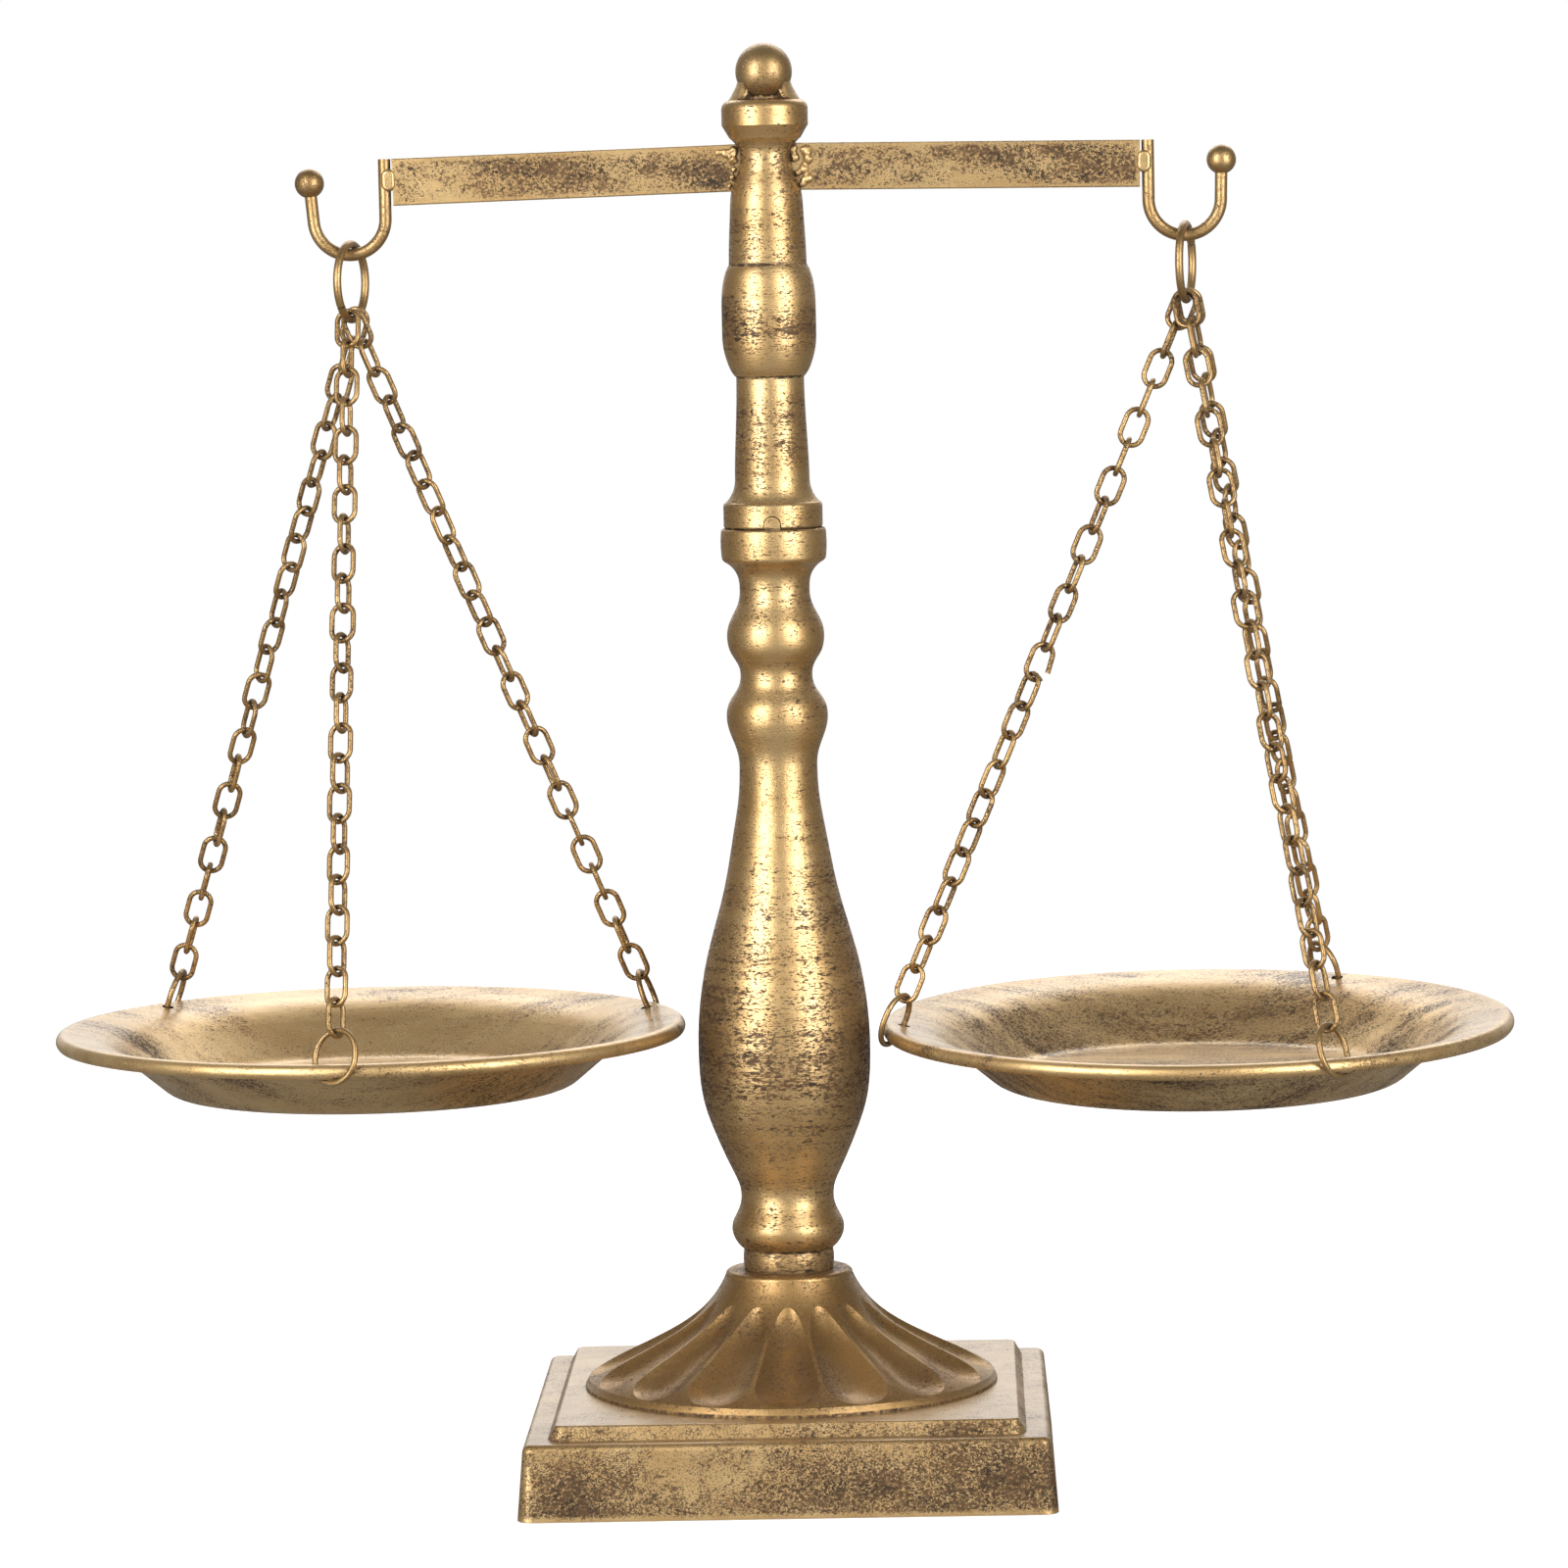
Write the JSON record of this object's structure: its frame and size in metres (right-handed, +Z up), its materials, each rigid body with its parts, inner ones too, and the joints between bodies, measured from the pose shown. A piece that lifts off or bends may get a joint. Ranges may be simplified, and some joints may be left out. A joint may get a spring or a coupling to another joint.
{
  "type": "equal arm balance scale",
  "caption": "Equal arm balance stand: turned pillar on a fluted foot and stepped square plinth, fixed bar arms with wire hooks, and shallow round pans hanging on link chains.",
  "frame": {"origin": "on the pillar's axis, on the surface that the plinth stands on", "axes": "X runs along the two arms with the left pan at -X, the front is -Y, Z is up"},
  "size_m": [0.3794, 0.1661, 0.3714],
  "materials": {
    "pillar_gold": "antique gold paint rubbed through to dark brown, low sheen",
    "base_gold": "antique gold paint, heavily speckled with dark brown",
    "pan_gold": "antique gold paint brushed on, with dark brown patches",
    "chain_gold": "antique gold paint, darker in the gaps",
    "weld_gold": "lumpy weld under antique gold paint",
    "steel": "plain zinc-plated steel, hidden inside the stand",
    "felt": "dark felt on board"
  },
  "bodies": {
    "frame": {"base_plinth": "base_gold", "base_cover": "felt", "tie_rod": "steel", "tie_rod_washer": "steel", "tie_rod_nut": "steel", "fluted_foot": "base_gold", "lower_column": "pillar_gold", "upper_column": "pillar_gold", "top_ball": "pillar_gold", "top_ball_weld": "weld_gold", "left_arm": "pillar_gold", "left_arm_weld": "weld_gold", "left_hook": "pillar_gold", "left_hook_ball": "pillar_gold", "left_hook_weld": "weld_gold", "right_arm": "pillar_gold", "right_arm_weld": "weld_gold", "right_hook": "pillar_gold", "right_hook_ball": "pillar_gold", "right_hook_weld": "weld_gold"},
    "left_ring": {"left_hanger_ring": "chain_gold"},
    "left_links": {"left_top_links": "chain_gold"},
    "left_pan_and_chains": {"left_pan": "pan_gold", "left_front_chain": "chain_gold", "left_right_chain": "chain_gold", "left_back_chain": "chain_gold", "left_front_rim_ring": "chain_gold", "left_right_rim_ring": "chain_gold", "left_back_rim_ring": "chain_gold"},
    "right_ring": {"right_hanger_ring": "chain_gold"},
    "right_links": {"right_top_links": "chain_gold"},
    "right_pan_and_chains": {"right_pan": "pan_gold", "right_front_chain": "chain_gold", "right_left_chain": "chain_gold", "right_back_chain": "chain_gold", "right_front_rim_ring": "chain_gold", "right_left_rim_ring": "chain_gold", "right_back_rim_ring": "chain_gold"}
  },
  "joints": [
    {"name": "left_ring_swing", "type": "hinge", "parent": "frame", "child": "left_ring", "pos_m": [-0.1077, 0, 0.3192], "axis": [1, 0, 0], "range_deg": [-20, 20]},
    {"name": "left_pan_sway", "type": "hinge", "parent": "left_ring", "child": "left_links", "pos_m": [-0.1077, 0, 0.3026], "axis": [0.2924, 0.9563, 0], "range_deg": [-0.8, 25]},
    {"name": "left_pan_turn", "type": "hinge", "parent": "left_links", "child": "left_pan_and_chains", "pos_m": [-0.1077, 0, 0.2957], "axis": [0, 0, 1], "range_deg": [-8, 3]},
    {"name": "right_ring_swing", "type": "hinge", "parent": "frame", "child": "right_ring", "pos_m": [0.1077, 0, 0.3199], "axis": [1, 0, 0], "range_deg": [-20, 20]},
    {"name": "right_pan_sway", "type": "hinge", "parent": "right_ring", "child": "right_links", "pos_m": [0.1077, 0, 0.3033], "axis": [0.2079, 0.9781, 0], "range_deg": [-25, 0.8]},
    {"name": "right_pan_turn", "type": "hinge", "parent": "right_links", "child": "right_pan_and_chains", "pos_m": [0.1077, 0, 0.2964], "axis": [0, 0, 1], "range_deg": [-6, 6]}
  ]
}
